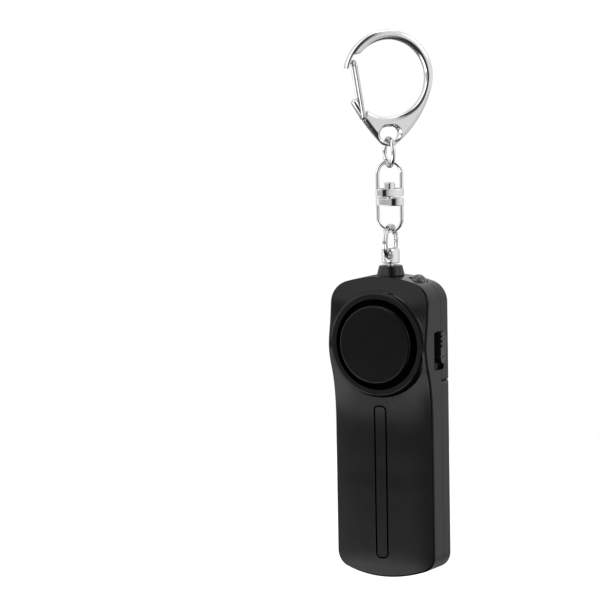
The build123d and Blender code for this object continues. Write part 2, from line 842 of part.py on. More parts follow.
thumb_middle = door_split - door_thumb_drop - door_thumb_pitch * door_thumb_count / 2
with BuildPart() as battery_door:
    add(rear_form.part)
    split(bisect_by=Plane.XY.offset(door_split - panel_gap / 2), keep=Keep.BOTTOM)
    # Thumb ridges as shallow grooves
    with BuildSketch(body_front.offset(-body_rear_depth)):
        with Locations((0, thumb_middle)):
            with GridLocations(0, door_thumb_pitch, 1, door_thumb_count):
                SlotOverall(door_thumb_width, door_thumb_pitch / 2)
    extrude(amount=door_thumb_depth, mode=Mode.SUBTRACT)
save(battery_door, "battery_door")

# Speaker cap on its posts
cap_front = collar_depth + cap_proud
cap_back = cap_front - cap_thickness
with BuildPart() as speaker_cap:
    with BuildSketch(speaker_plane.offset(cap_back)):
        Circle(cap_diameter / 2)
    extrude(amount=cap_thickness)
    fillet(speaker_cap.faces().sort_by(Axis.Y)[0].edges(), cap_edge_round)
    with BuildSketch(speaker_plane.offset(cup_floor)):
        with PolarLocations(cap_post_circle / 2, cap_post_count):
            Circle(cap_post_diameter / 2)
    extrude(amount=cap_back - cup_floor)
save(speaker_cap, "speaker_cap")

# Piezo siren, clamped on the seat behind the speaker well
ceramic_front = siren_seat - brass_thickness
with BuildPart() as siren_diaphragm:
    with BuildSketch(speaker_plane.offset(ceramic_front)):
        Circle(brass_radius)
    extrude(amount=brass_thickness)
save(siren_diaphragm, "siren_diaphragm")

with BuildPart() as siren_ceramic:
    with BuildSketch(speaker_plane.offset(ceramic_front - ceramic_thickness)):
        Circle(ceramic_diameter / 2)
    extrude(amount=ceramic_thickness)
save(siren_ceramic, "siren_ceramic")

with BuildPart() as siren_clamp_ring:
    with BuildSketch(speaker_plane.offset(ceramic_front - clamp_ring_thickness)):
        Circle(brass_radius)
        Circle(brass_radius - clamp_ring_width, mode=Mode.SUBTRACT)
    extrude(amount=clamp_ring_thickness)
save(siren_clamp_ring, "siren_clamp_ring")

# Circuit board, screwless, held between the rear posts and the contact block
with BuildPart() as circuit_board:
    with BuildSketch(body_front.offset(-board_rear)):
        with Locations((0, board_middle)):
            RectangleRounded(board_width, board_length, board_post_diameter / 2)
    extrude(amount=board_thickness)
save(circuit_board, "circuit_board")

chip_centre = body_top - chip_drop
with BuildPart() as driver_chip:
    with BuildSketch(body_front.offset(-board_front)):
        with Locations((chip_offset, chip_centre)):
            with GridLocations(
                chip_width + chip_lead_reach, chip_lead_pitch, 2, chip_leads_per_side
            ):
                Rectangle(chip_lead_reach, chip_lead_width)
    extrude(amount=chip_lead_thickness)
    with BuildSketch(body_front.offset(-board_front + chip_lead_thickness / 2)):
        with Locations((chip_offset, chip_centre)):
            Rectangle(chip_width, chip_length)
    extrude(amount=chip_height)
save(driver_chip, "driver_chip")

coil_centre = body_top - coil_drop
with BuildPart() as step_up_coil:
    for base, height, diameter in (
        (0, coil_height, coil_waist),
        (0, coil_flange, coil_diameter),
        (coil_height - coil_flange, coil_flange, coil_diameter),
    ):
        with BuildSketch(body_front.offset(-board_front + base)):
            with Locations((-coil_offset, coil_centre)):
                Circle(diameter / 2)
        extrude(amount=height)
save(step_up_coil, "step_up_coil")

# Contact block round the pin, with a spring leaf on each side
block_top = body_top - contact_block_top_drop - running_gap
block_middle = block_top - contact_block_height / 2
with BuildPart() as pin_contact_block:
    with BuildSketch(Plane.XY.offset(block_top)):
        with Locations((0, board_front - contact_block_depth / 2)):
            Rectangle(contact_block_width, contact_block_depth)
        Circle(pin_radius + leaf_gap + leaf_thickness, mode=Mode.SUBTRACT)
    extrude(amount=-contact_block_height)
    with BuildSketch(body_front.offset(-board_front)):
        with Locations((0, block_middle)):
            Rectangle(
                2 * (pin_radius + leaf_gap + leaf_thickness), leaf_length + 2 * running_gap
            )
    extrude(amount=contact_block_depth, mode=Mode.SUBTRACT)
save(pin_contact_block, "pin_contact_block")

with BuildPart() as pin_contact_leaves:
    for side in (1, -1):
        with BuildSketch(Plane.XY.offset(block_middle - leaf_length / 2)):
            with Locations((side * (pin_radius + leaf_gap + leaf_thickness / 2), 0)):
                Rectangle(leaf_thickness, leaf_width)
        extrude(amount=leaf_length)
save(pin_contact_leaves, "pin_contact_leaves")

# Light in the shoulder of the housing
light_radius = light_diameter / 2
light_base = light_top - light_length
with BuildPart() as light_lens:
    with BuildSketch(Plane.XZ):
        with BuildLine():
            lens_top = ThreePointArc(
                (light_offset + light_radius, light_top - light_radius),
                (light_offset + light_radius * cos(radians(45)),
                 light_top - light_radius + light_radius * sin(radians(45))),
                (light_offset, light_top),
            )
            Polyline(
                lens_top @ 1,
                (light_offset, light_base),
                (light_offset + light_flange_diameter / 2, light_base),
                (light_offset + light_flange_diameter / 2, light_base + light_flange_height),
                (light_offset + light_radius, light_base + light_flange_height),
                lens_top @ 0,
            )
        make_face()
    revolve(axis=Axis((light_offset, 0, 0), (0, 0, 1)))
save(light_lens, "light_lens")

lead_foot = board_top - light_lead_pitch
with BuildPart() as light_leads:
    for side in (1, -1):
        lead_offset = light_offset + side * light_lead_pitch / 2
        with BuildLine() as lead_path:
            FilletPolyline(
                (lead_offset, 0, light_base),
                (lead_offset, 0, lead_foot),
                (lead_offset, board_front, lead_foot),
                radius=light_lead,
            )
        with BuildSketch(Plane(origin=lead_path.line @ 0, z_dir=lead_path.line % 0)):
            Rectangle(light_lead, light_lead)
        sweep(transition=Transition.RIGHT)
save(light_leads, "light_leads")

# Slide switch, its actuator and the knob outside
flange_outer = inner_half - running_gap * 2
flange_inner = flange_outer - knob_flange_thickness
switch_body_outer = flange_inner - running_gap * 2
switch_centre_depth = board_front - switch_body_depth / 2
knob_top = switch_top - running_gap * 2
knob_middle = knob_top - knob_length / 2
knob_travel = switch_slot_length - knob_length - running_gap * 4
with BuildPart() as slide_switch:
    with BuildSketch(Plane.XY.offset(knob_middle - knob_travel / 2)):
        with Locations((switch_body_outer - switch_body_width / 2, switch_centre_depth)):
            Rectangle(switch_body_width, switch_body_depth)
    extrude(amount=switch_body_length / 2, both=True)
    fillet(slide_switch.edges().filter_by(Axis.Z), switch_body_round)
    with BuildSketch(side_plane.offset(switch_body_outer - body_half)):
        with Locations((switch_centre_depth, knob_middle - knob_travel / 2 - switch_middle)):
            Rectangle(actuator_width + 2 * running_gap, actuator_slot_length)
    extrude(amount=-switch_body_width / 2, mode=Mode.SUBTRACT)
save(slide_switch, "slide_switch")

with BuildPart() as switch_actuator:
    with BuildSketch(side_plane.offset(switch_body_outer - switch_body_width / 2 - body_half)):
        with Locations((switch_centre_depth, knob_middle - switch_middle)):
            Rectangle(actuator_width, actuator_length)
    extrude(amount=switch_body_width / 2 + knob_flange_thickness / 2)
save(switch_actuator, "switch_actuator")

with BuildPart() as switch_knob:
    with BuildSketch(side_plane.offset(flange_inner - body_half)):
        with Locations((0, knob_middle - switch_middle)):
            Rectangle(knob_flange_width, knob_flange_length)
    extrude(amount=knob_flange_thickness)
    with BuildSketch(side_plane.offset(flange_outer - body_half)):
        with Locations((0, knob_middle - switch_middle)):
            SlotOverall(knob_length, knob_width, rotation=90)
    extrude(amount=knob_proud + body_half - flange_outer)
    with BuildSketch(side_plane.offset(knob_proud)):
        for step in range(knob_rib_count):
            with Locations((0, knob_top - switch_middle - knob_rib_pitch * (step + 1))):
                Rectangle(knob_width * knob_rib_share, knob_rib_width)
    extrude(amount=knob_rib_rise)
    with BuildSketch(side_plane.offset(knob_proud)):
        with Locations((0, knob_top - switch_middle - knob_slit_drop)):
            Rectangle(knob_width, knob_slit_width)
    extrude(amount=-knob_proud / 2, mode=Mode.SUBTRACT)
    with BuildSketch(side_plane.offset(flange_inner - body_half)):
        with Locations((switch_centre_depth, knob_middle - switch_middle)):
            Rectangle(actuator_width + 2 * running_gap, actuator_length + 2 * running_gap)
    extrude(amount=knob_flange_thickness / 2 + running_gap, mode=Mode.SUBTRACT)
save(switch_knob, "switch_knob")

# Two cells side by side, one of them upside down, between plates and springs
cell_radius = cell_diameter / 2


def cell(side):
    """Cell with its nub up on the left and down on the right."""
    low = bay_bottom + contact_plate_thickness
    can_low = low + (cell_nub_height if side > 0 else bay_spring_length)
    nub_low = low if side > 0 else can_low + cell_length - cell_nub_height
    with BuildPart() as battery:
        with BuildSketch(Plane.XY.offset(can_low)):
            with Locations((side * cell_pitch / 2, -cell_depth)):
                Circle(cell_radius)
        extrude(amount=cell_length - cell_nub_height)
        fillet(battery.edges().filter_by(GeomType.CIRCLE), cell_edge_round)
        with BuildSketch(Plane.XY.offset(nub_low)):
            with Locations((side * cell_pitch / 2, -cell_depth)):
                Circle(cell_nub_diameter / 2)
        extrude(amount=cell_nub_height)
    return battery


save(cell(-1), "battery_cell_left")
save(cell(1), "battery_cell_right")

with BuildPart() as battery_contact_plates:
    for height in (bay_bottom, bay_top - contact_plate_thickness):
        with BuildSketch(Plane.XY.offset(height)):
            with Locations(
                (cell_pitch / 2, -cell_depth), (-cell_pitch / 2, -cell_depth)
            ):
                Rectangle(contact_plate_size, contact_plate_size)
        extrude(amount=contact_plate_thickness)
save(battery_contact_plates, "battery_contact_plates")

spring_radius = (bay_spring_diameter - bay_spring_wire) / 2
spring_rise = bay_spring_length - bay_spring_wire
with BuildPart() as battery_springs:
    for side, base in (
        (-1, bay_bottom + contact_plate_thickness),
        (1, bay_top - contact_plate_thickness - bay_spring_length),
    ):
        with BuildLine() as coil:
            Helix(
                pitch=spring_rise / bay_spring_turns,
                height=spring_rise,
                radius=spring_radius,
                center=(side * cell_pitch / 2, -cell_depth, base + bay_spring_wire / 2),
            )
        with BuildSketch(Plane(origin=coil.line @ 0, z_dir=coil.line % 0)):
            Circle(bay_spring_wire / 2)
        sweep(is_frenet=True)
save(battery_springs, "battery_springs")

# Screws that hold the rear shell to the bosses
screw_seat = ear_rear - screw_head_height - running_gap
with BuildPart() as case_screws:
    with BuildSketch(body_front.offset(-screw_seat)):
        with Locations((screw_offset, screw_height), (-screw_offset, screw_height)):
            Circle(screw_radius)
    extrude(amount=screw_seat + wall / 2)
    with BuildSketch(body_front.offset(-screw_seat)):
        with Locations((screw_offset, screw_height), (-screw_offset, screw_height)):
            Circle(screw_head_diameter / 2)
    extrude(amount=-screw_head_height)
    with BuildSketch(body_front.offset(-screw_seat - screw_head_height)):
        with Locations((screw_offset, screw_height), (-screw_offset, screw_height)):
            Rectangle(screw_slot_length, screw_slot_width)
            Rectangle(screw_slot_width, screw_slot_length)
    extrude(amount=screw_slot_depth, mode=Mode.SUBTRACT)
save(case_screws, "case_screws")
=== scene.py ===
from math import cos, hypot, pi, radians, sin

import bmesh
import bpy
from mathutils import Matrix, Vector


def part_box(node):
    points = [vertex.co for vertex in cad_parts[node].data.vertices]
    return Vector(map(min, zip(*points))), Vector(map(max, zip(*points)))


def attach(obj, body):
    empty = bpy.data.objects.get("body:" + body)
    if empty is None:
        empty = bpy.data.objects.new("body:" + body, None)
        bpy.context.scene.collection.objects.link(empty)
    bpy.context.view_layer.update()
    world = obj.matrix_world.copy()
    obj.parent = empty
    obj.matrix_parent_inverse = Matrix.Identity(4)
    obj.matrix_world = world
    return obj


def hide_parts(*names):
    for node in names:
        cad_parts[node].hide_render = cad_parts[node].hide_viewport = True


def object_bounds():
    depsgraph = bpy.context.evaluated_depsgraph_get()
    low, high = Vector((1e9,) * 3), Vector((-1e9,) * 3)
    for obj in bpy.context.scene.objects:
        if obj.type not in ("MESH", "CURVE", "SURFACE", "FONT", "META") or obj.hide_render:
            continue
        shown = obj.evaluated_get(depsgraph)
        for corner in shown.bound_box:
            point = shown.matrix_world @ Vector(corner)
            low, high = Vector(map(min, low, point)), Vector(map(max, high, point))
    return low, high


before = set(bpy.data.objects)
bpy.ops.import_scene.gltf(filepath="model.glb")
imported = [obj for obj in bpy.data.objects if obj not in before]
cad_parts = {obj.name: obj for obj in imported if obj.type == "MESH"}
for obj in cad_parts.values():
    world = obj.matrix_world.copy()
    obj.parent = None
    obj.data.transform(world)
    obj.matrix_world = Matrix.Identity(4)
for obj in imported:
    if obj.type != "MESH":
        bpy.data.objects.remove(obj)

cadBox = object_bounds()

# A pull-pin personal alarm seen from its front right, hanging on its swivel chain.
# Lengths are metres in the frame of the CAD model: Z up, front towards -Y.

mm = 0.001


# A node with its input values and its own settings
def addNode(tree, kind, values=None, **settings):
    node = tree.nodes.new(kind)
    for key, value in settings.items():
        setattr(node, key, value)
    for key, value in (values or {}).items():
        node.inputs[key].default_value = value
    return node


# A socket takes either a plain number or another socket
def feed(tree, socket, value):
    if isinstance(value, float):
        socket.default_value = value
    else:
        tree.links.new(value, socket)


def treeMath(tree, operation, *values):
    node = addNode(tree, "ShaderNodeMath", operation=operation)
    for socket, value in zip(node.inputs, values):
        feed(tree, socket, value)
    return node.outputs["Value"]


def startMaterial(name):
    material = bpy.data.materials.new(name)
    material.use_nodes = True
    tree = material.node_tree
    coords = addNode(tree, "ShaderNodeTexCoord").outputs["Object"]
    return material, tree, tree.nodes["Principled BSDF"], coords


# Noise in object coordinates, drawn out along an axis whose stretch is below 1
def noiseField(tree, coords, scale, detail=3.0, roughness=0.55, stretch=None):
    source = coords
    if stretch:
        mapping = addNode(tree, "ShaderNodeMapping", {"Scale": stretch})
        tree.links.new(coords, mapping.inputs["Vector"])
        source = mapping.outputs["Vector"]
    noise = addNode(
        tree, "ShaderNodeTexNoise", {"Scale": scale, "Detail": detail, "Roughness": roughness}
    )
    tree.links.new(source, noise.inputs["Vector"])
    return noise.outputs["Fac"]


# Noise seldom leaves this part of 0 to 1, which is spread over a range or two colours
noiseLow, noiseHigh = 0.3, 0.7


def spread(tree, field, low, high):
    node = addNode(tree, "ShaderNodeMapRange", {"From Min": noiseLow, "From Max": noiseHigh})
    node.inputs["To Min"].default_value = low
    node.inputs["To Max"].default_value = high
    tree.links.new(field, node.inputs["Value"])
    return node.outputs["Result"]


def tint(tree, field, dark, light):
    ramp = addNode(tree, "ShaderNodeValToRGB")
    darkStop, lightStop = ramp.color_ramp.elements
    darkStop.position, darkStop.color = noiseLow, (*dark, 1)
    lightStop.position, lightStop.color = noiseHigh, (*light, 1)
    tree.links.new(field, ramp.inputs["Fac"])
    return ramp.outputs["Color"]


def bump(tree, shader, field, strength, distance):
    node = addNode(tree, "ShaderNodeBump", {"Strength": strength, "Distance": distance})
    tree.links.new(field, node.inputs["Height"])
    tree.links.new(node.outputs["Normal"], shader.inputs["Normal"])


# Moulded plastics: a fine eroded grain, and a faint cloudiness in colour and gloss
plasticLook = {"clouds": 260.0, "handling": 90.0, "grainStrength": 0.25}
plastics = {
    "shellPlastic": {
        "dark": (0.004, 0.004, 0.0042), "light": (0.0055, 0.0055, 0.0058),
        "rough": (0.14, 0.18), "grain": 5200.0, "grainDepth": 0.004 * mm, "specular": 0.2,
    },
    # painted shade: near-black and almost without gloss, for the well and the groove of the
    # front shell
    "paintedRecessShade": {
        "dark": (0.0005, 0.0005, 0.0005), "light": (0.0008, 0.0008, 0.0008),
        "rough": (0.5, 0.6), "grain": 5200.0, "grainDepth": 0.01 * mm, "specular": 0.02,
    },
    "capPlastic": {
        "dark": (0.003, 0.003, 0.003), "light": (0.004, 0.004, 0.004),
        "rough": (0.15, 0.2), "grain": 5200.0, "grainDepth": 0.003 * mm, "specular": 0.14,
    },
    "footPlastic": {
        "dark": (0.005, 0.005, 0.0055), "light": (0.007, 0.007, 0.0075),
        "rough": (0.28, 0.35), "grain": 4200.0, "grainDepth": 0.012 * mm, "specular": 0.35,
    },
    # painted light: the knob is lighter than the shell to make up for the light its scooped
    # slot keeps off, so its ribs show
    "knobPaintedLight": {
        "dark": (0.014, 0.014, 0.0145), "light": (0.018, 0.018, 0.0185),
        "rough": (0.28, 0.35), "grain": 4200.0, "grainDepth": 0.01 * mm, "specular": 0.5,
    },
    "innerPlastic": {
        "dark": (0.035, 0.035, 0.035), "light": (0.05, 0.05, 0.05),
        "rough": (0.45, 0.55), "grain": 3000.0, "grainDepth": 0.02 * mm, "specular": 0.5,
    },
    "chipResin": {
        "dark": (0.015, 0.015, 0.015), "light": (0.022, 0.022, 0.022),
        "rough": (0.5, 0.6), "grain": 4000.0, "grainDepth": 0.01 * mm, "specular": 0.5,
    },
    "coilFerrite": {
        "dark": (0.045, 0.04, 0.04), "light": (0.07, 0.065, 0.06),
        "rough": (0.5, 0.65), "grain": 2500.0, "grainDepth": 0.03 * mm, "specular": 0.5,
    },
    "cellJacket": {
        "dark": (0.09, 0.1, 0.11), "light": (0.11, 0.12, 0.13),
        "rough": (0.25, 0.32), "grain": 1500.0, "grainDepth": 0.005 * mm, "specular": 0.5,
    },
}


def plasticMaterial(name, dark, light, rough, grain, grainDepth, specular):
    material, tree, shader, coords = startMaterial(name)
    clouds = noiseField(tree, coords, plasticLook["clouds"], detail=2.0)
    tree.links.new(tint(tree, clouds, dark, light), shader.inputs["Base Color"])
    handling = noiseField(tree, coords, plasticLook["handling"], detail=4.0, roughness=0.6)
    tree.links.new(spread(tree, handling, *rough), shader.inputs["Roughness"])
    shader.inputs["Specular IOR Level"].default_value = specular
    grainField = noiseField(tree, coords, grain, detail=2.0, roughness=0.6)
    bump(tree, shader, grainField, plasticLook["grainStrength"], grainDepth)
    return material


# Metals: slow waves in the surface, and faint wipe marks along Z
metalLook = {
    "clouds": 160.0, "wipes": 420.0, "wipeStretch": (1.0, 1.0, 0.18),
    "waves": 140.0, "waveStrength": 0.35,
}
metals = {
    "hookPlate": {
        "dark": (0.72, 0.72, 0.725), "light": (0.78, 0.78, 0.78),
        "rough": (0.07, 0.11), "waveDepth": 0.012 * mm,
    },
    "wirePlate": {
        "dark": (0.7, 0.7, 0.705), "light": (0.77, 0.77, 0.77),
        "rough": (0.05, 0.09), "waveDepth": 0.008 * mm,
    },
    "ringPlate": {
        "dark": (0.56, 0.56, 0.565), "light": (0.63, 0.63, 0.63),
        "rough": (0.08, 0.13), "waveDepth": 0.01 * mm,
    },
    "pinPlate": {
        "dark": (0.78, 0.78, 0.785), "light": (0.86, 0.86, 0.86),
        "rough": (0.06, 0.1), "waveDepth": 0.006 * mm,
    },
    "springSteel": {
        "dark": (0.5, 0.5, 0.52), "light": (0.6, 0.6, 0.62),
        "rough": (0.25, 0.35), "waveDepth": 0.02 * mm,
    },
    "brassSheet": {
        "dark": (0.6, 0.43, 0.17), "light": (0.68, 0.5, 0.22),
        "rough": (0.25, 0.35), "waveDepth": 0.03 * mm,
    },
    "silveredCeramic": {
        "dark": (0.6, 0.6, 0.57), "light": (0.68, 0.68, 0.65),
        "rough": (0.4, 0.5), "waveDepth": 0.02 * mm,
    },
}


def metalMaterial(name, dark, light, rough, waveDepth):
    material, tree, shader, coords = startMaterial(name)
    clouds = noiseField(tree, coords, metalLook["clouds"], detail=3.0)
    tree.links.new(tint(tree, clouds, dark, light), shader.inputs["Base Color"])
    shader.inputs["Metallic"].default_value = 1.0
    wipes = noiseField(
        tree, coords, metalLook["wipes"], detail=4.0, roughness=0.65,
        stretch=metalLook["wipeStretch"],
    )
    tree.links.new(spread(tree, wipes, *rough), shader.inputs["Roughness"])
    waves = noiseField(tree, coords, metalLook["waves"], detail=1.0, roughness=0.4)
    bump(tree, shader, waves, metalLook["waveStrength"], waveDepth)
    return material


# Smoky clear resin of the light
resinLook = {
    "colour": (0.34, 0.35, 0.37, 1), "clearness": 0.75, "ior": 1.53,
    "haze": 300.0, "rough": (0.05, 0.08),
    "ripples": 400.0, "rippleStrength": 0.1, "rippleDepth": 0.005 * mm,
}


def resinMaterial(name):
    material, tree, shader, coords = startMaterial(name)
    shader.inputs["Base Color"].default_value = resinLook["colour"]
    shader.inputs["Transmission Weight"].default_value = resinLook["clearness"]
    shader.inputs["IOR"].default_value = resinLook["ior"]
    haze = noiseField(tree, coords, resinLook["haze"], detail=2.0)
    tree.links.new(spread(tree, haze, *resinLook["rough"]), shader.inputs["Roughness"])
    ripples = noiseField(tree, coords, resinLook["ripples"], detail=1.0)
    bump(tree, shader, ripples, resinLook["rippleStrength"], resinLook["rippleDepth"])
    return material


# Circuit board: green solder mask over the faint weave of the laminate
boardLook = {
    "dark": (0.012, 0.075, 0.03), "light": (0.02, 0.11, 0.045), "rough": 0.38,
    "weave": 700.0, "unevenness": 1.0, "weaveStrength": 0.1, "weaveDepth": 0.02 * mm,
}


def boardMaterial(name):
    material, tree, shader, coords = startMaterial(name)
    weave = addNode(
        tree, "ShaderNodeTexWave",
        {"Scale": boardLook["weave"], "Distortion": boardLook["unevenness"]},
    )
    tree.links.new(coords, weave.inputs["Vector"])
    threads = weave.outputs["Fac"]
    green = tint(tree, threads, boardLook["dark"], boardLook["light"])
    tree.links.new(green, shader.inputs["Base Color"])
    shader.inputs["Roughness"].default_value = boardLook["rough"]
    bump(tree, shader, threads, boardLook["weaveStrength"], boardLook["weaveDepth"])
    return material


finishes = {name: plasticMaterial(name, **look) for name, look in plastics.items()}
finishes.update((name, metalMaterial(name, **look)) for name, look in metals.items())
finishes["clearResin"] = resinMaterial("clearResin")
finishes["boardLaminate"] = boardMaterial("boardLaminate")

nodeFinishes = {
    "hook_body": "hookPlate",
    "hook_gate": "ringPlate",
    "top_jump_ring": "ringPlate",
    "lower_split_ring": "ringPlate",
    "swivel_upper_loop": "wirePlate",
    "swivel_lower_loop": "wirePlate",
    "swivel_rivet": "wirePlate",
    "pull_pin": "pinPlate",
    "pin_foot": "footPlastic",
    "front_shell": "shellPlastic",
    "rear_shell": "shellPlastic",
    "battery_door": "shellPlastic",
    "speaker_cap": "capPlastic",
    "siren_diaphragm": "brassSheet",
    "siren_ceramic": "silveredCeramic",
    "siren_clamp_ring": "innerPlastic",
    "circuit_board": "boardLaminate",
    "driver_chip": "chipResin",
    "step_up_coil": "coilFerrite",
    "pin_contact_block": "innerPlastic",
    "pin_contact_leaves": "springSteel",
    "light_lens": "clearResin",
    "light_leads": "springSteel",
    "slide_switch": "innerPlastic",
    "switch_actuator": "innerPlastic",
    "switch_knob": "knobPaintedLight",
    "battery_cell_left": "cellJacket",
    "battery_cell_right": "cellJacket",
    "battery_contact_plates": "springSteel",
    "battery_springs": "springSteel",
    "case_screws": "springSteel",
}
for name, finish in nodeFinishes.items():
    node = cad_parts[name]
    node.data.materials.clear()
    node.data.materials.append(finishes[finish])
print("finishes on", len(nodeFinishes), "nodes")


# The front shell's faces in the well round the speaker's cap and in the groove, which runs at
# an even distance round the core of the raised bar, get a blacker, almost glossless plastic:
# painted shade in these recesses
recess = {
    "speakerHeight": -87.65 * mm, "wellRadius": 13.26 * mm,
    "barHeight": -128.15 * mm, "barCore": (0.5 * mm, 21.0 * mm),
    "grooveReach": (1.09 * mm, 1.61 * mm),
    "frontFrom": -4.0 * mm,
}
coreWidth, coreLength = recess["barCore"]
grooveInner, grooveOuter = recess["grooveReach"]
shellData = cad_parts["front_shell"].data
shellData.materials.append(finishes["paintedRecessShade"])
for face in shellData.polygons:
    spot = face.center
    inWell = hypot(spot.x, spot.z - recess["speakerHeight"]) < recess["wellRadius"]
    side = max(abs(spot.x) - coreWidth, 0.0)
    end = max(abs(spot.z - recess["barHeight"]) - coreLength, 0.0)
    inGroove = grooveInner < hypot(side, end) < grooveOuter
    if spot.y < recess["frontFrom"] and (inWell or inGroove):
        face.material_index = 1
print("recesses")


# The snap hook's cast body, cut from its CAD body, with faces that fall away to the rims.
# The rims are arcs, as centre across, centre up and radius in the hook's own plane.
hook = {
    "turn": radians(46), "halfThickness": 1.5 * mm, "halfWidth": 13.5 * mm,
    "mouth": (0.0, -11.2 * mm, 11.2 * mm),
    "crown": (0.0, -10.65 * mm, 13.4 * mm), "crownFoot": -14.5 * mm,
    "flanks": ((-15.95 * mm, -6.41 * mm, 29.9 * mm), (55.6 * mm, 21.5 * mm, 77.6 * mm)),
    "rimWidth": 1.4 * mm, "rimSlope": 0.75,
    "weldWithin": 0.001 * mm, "flatWithin": radians(0.5),
    "cutSpacing": 0.3 * mm, "cutSnap": 0.0005 * mm,
    "smoothAngle": radians(35),
}
hookAcross = Vector((cos(hook["turn"]), sin(hook["turn"]), 0))
hookOut = Vector((sin(hook["turn"]), -cos(hook["turn"]), 0))
hookUp = Vector((0, 0, 1))


# How far a point of the hook's plane lies from the nearest rim; the crown is a rim only
# above its foot
def rimDistance(across, up):
    centre, height, radius = hook["mouth"]
    nearest = hypot(across - centre, up - height) - radius
    outsides = list(hook["flanks"])
    if up > hook["crownFoot"]:
        outsides.append(hook["crown"])
    for centre, height, radius in outsides:
        nearest = min(nearest, radius - hypot(across - centre, up - height))
    return max(nearest, 0.0)


hookMesh = bmesh.new()
hookMesh.from_mesh(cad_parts["hook_body"].data)
bmesh.ops.remove_doubles(hookMesh, verts=hookMesh.verts, dist=hook["weldWithin"])
bmesh.ops.dissolve_limit(
    hookMesh, angle_limit=hook["flatWithin"], verts=hookMesh.verts, edges=hookMesh.edges
)
# Cuts in both directions give the flat faces enough points to bend
hookLow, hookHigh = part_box("hook_body")
cuts = (
    (hookAcross, -hook["halfWidth"], hook["halfWidth"]),
    (hookUp, hookLow[2], hookHigh[2]),
)
for direction, start, stop in cuts:
    for step in range(int((stop - start) / hook["cutSpacing"]) + 1):
        bmesh.ops.bisect_plane(
            hookMesh, geom=hookMesh.verts[:] + hookMesh.edges[:] + hookMesh.faces[:],
            dist=hook["cutSnap"], plane_no=direction,
            plane_co=direction * (start + step * hook["cutSpacing"]),
        )
# Each point moves towards the middle of the thickness, with a slope that grows to the rim
for vertex in hookMesh.verts:
    short = hook["rimWidth"] - rimDistance(vertex.co.dot(hookAcross), vertex.co.z)
    if short > 0:
        drop = 0.5 * hook["rimSlope"] * short * short / hook["rimWidth"]
        vertex.co -= hookOut * (vertex.co.dot(hookOut) * drop / hook["halfThickness"])
bmesh.ops.triangulate(hookMesh, faces=hookMesh.faces)
hookData = bpy.data.meshes.new("hookCasting")
hookMesh.to_mesh(hookData)
hookMesh.free()
hookData.materials.append(finishes["hookPlate"])
hookData.shade_smooth()
hookCasting = bpy.data.objects.new("hookCasting", hookData)
bpy.context.collection.objects.link(hookCasting)
bpy.ops.object.select_all(action="DESELECT")
hookCasting.select_set(True)
bpy.context.view_layer.objects.active = hookCasting
bpy.ops.object.shade_smooth_by_angle(angle=hook["smoothAngle"])
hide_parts("hook_body")
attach(hookCasting, "hook")
print("hook casting,", len(hookData.polygons), "faces")


# Pale floor far below the hanging alarm. Metal and matte surfaces take their light from
# the room instead.
floorLook = {
    "drop": 0.22, "radius": 1.6, "sides": 96,
    "dark": (0.92, 0.92, 0.92), "light": (0.94, 0.94, 0.94), "clouds": 3.0,
    "rough": 0.9, "glow": 0.6,
}
lowest, highest = cadBox
bpy.ops.object.select_all(action="DESELECT")
bpy.ops.mesh.primitive_circle_add(
    vertices=floorLook["sides"], radius=floorLook["radius"], fill_type="NGON",
    location=(0, 0, lowest.z - floorLook["drop"]),
)
floor = bpy.context.object
floor.name = floor.data.name = "floor"
bpy.ops.object.transform_apply(location=True, rotation=False, scale=False)
paleFloor, floorTree, floorShader, floorCoords = startMaterial("paleFloor")
floorClouds = noiseField(floorTree, floorCoords, floorLook["clouds"], detail=2.0)
floorTint = tint(floorTree, floorClouds, floorLook["dark"], floorLook["light"])
floorTree.links.new(floorTint, floorShader.inputs["Base Color"])
floorShader.inputs["Roughness"].default_value = floorLook["rough"]
floorShader.inputs["Emission Color"].default_value = (1, 1, 1, 1)
floorShader.inputs["Emission Strength"].default_value = floorLook["glow"]
floor.data.materials.append(paleFloor)
floor.visible_glossy = False
floor.visible_diffuse = False
print("floor")


# The room that lights the alarm and that its gloss and chrome mirror, as pairs of bearing
# and brightness, with bearing 0 in front of the alarm and 90 at its right. The walls are
# pale, with a dark door at the front right and a dark corner at the back left. The table is
# bright at the front left, and so is the ceiling, and both are dark by the door. An edge is
# the two heights on a unit sphere between which one part turns into the next.
room = {
    "walls": (
        (-180, 0.6), (-174, 0.06), (-142, 0.05), (-133, 0.55), (-112, 0.7), (-100, 0.9),
        (-92, 1.2), (-76, 1.2), (-62, 0.8), (-48, 0.6), (-30, 0.55), (8, 0.6), (13, 0.02),
        (32, 0.02), (40, 0.5), (60, 0.85), (90, 1.0), (152, 0.9), (170, 0.6), (180, 0.6),
    ),
    "table": (
        (-180, 0.3), (-100, 0.3), (-80, 0.8), (-62, 3.0), (-8, 3.0), (6, 0.04), (54, 0.04),
        (72, 0.6), (90, 0.8), (180, 0.5),
    ),
    "tableEdge": (-0.17, -0.27),
    "ceiling": (
        (-180, 1.0), (-100, 0.8), (-60, 0.9), (-44, 1.8), (-12, 2.0), (2, 0.08), (46, 0.08),
        (62, 0.8), (84, 1.0), (180, 1.0),
    ),
    "ceilingEdge": (0.02, 0.2),
    "under": 0.04,
    "underEdge": (-0.6, -0.74),
    "matteShare": 0.6,  # share of the room's light that matte surfaces get
}
world = bpy.data.worlds.new("studio")
bpy.context.scene.world = world
world.use_nodes = True
worldTree = world.node_tree
roomDirection = addNode(worldTree, "ShaderNodeTexCoord").outputs["Generated"]
axes = addNode(worldTree, "ShaderNodeSeparateXYZ")
worldTree.links.new(roomDirection, axes.inputs["Vector"])
toFront = treeMath(worldTree, "MULTIPLY", axes.outputs["Y"], -1.0)
bearing = treeMath(worldTree, "ARCTAN2", axes.outputs["X"], toFront)
# Bearings -180 to 180 run from 0 to 1 along a ramp
rampPlace = treeMath(worldTree, "MULTIPLY_ADD", bearing, 0.5 / pi, 0.5)


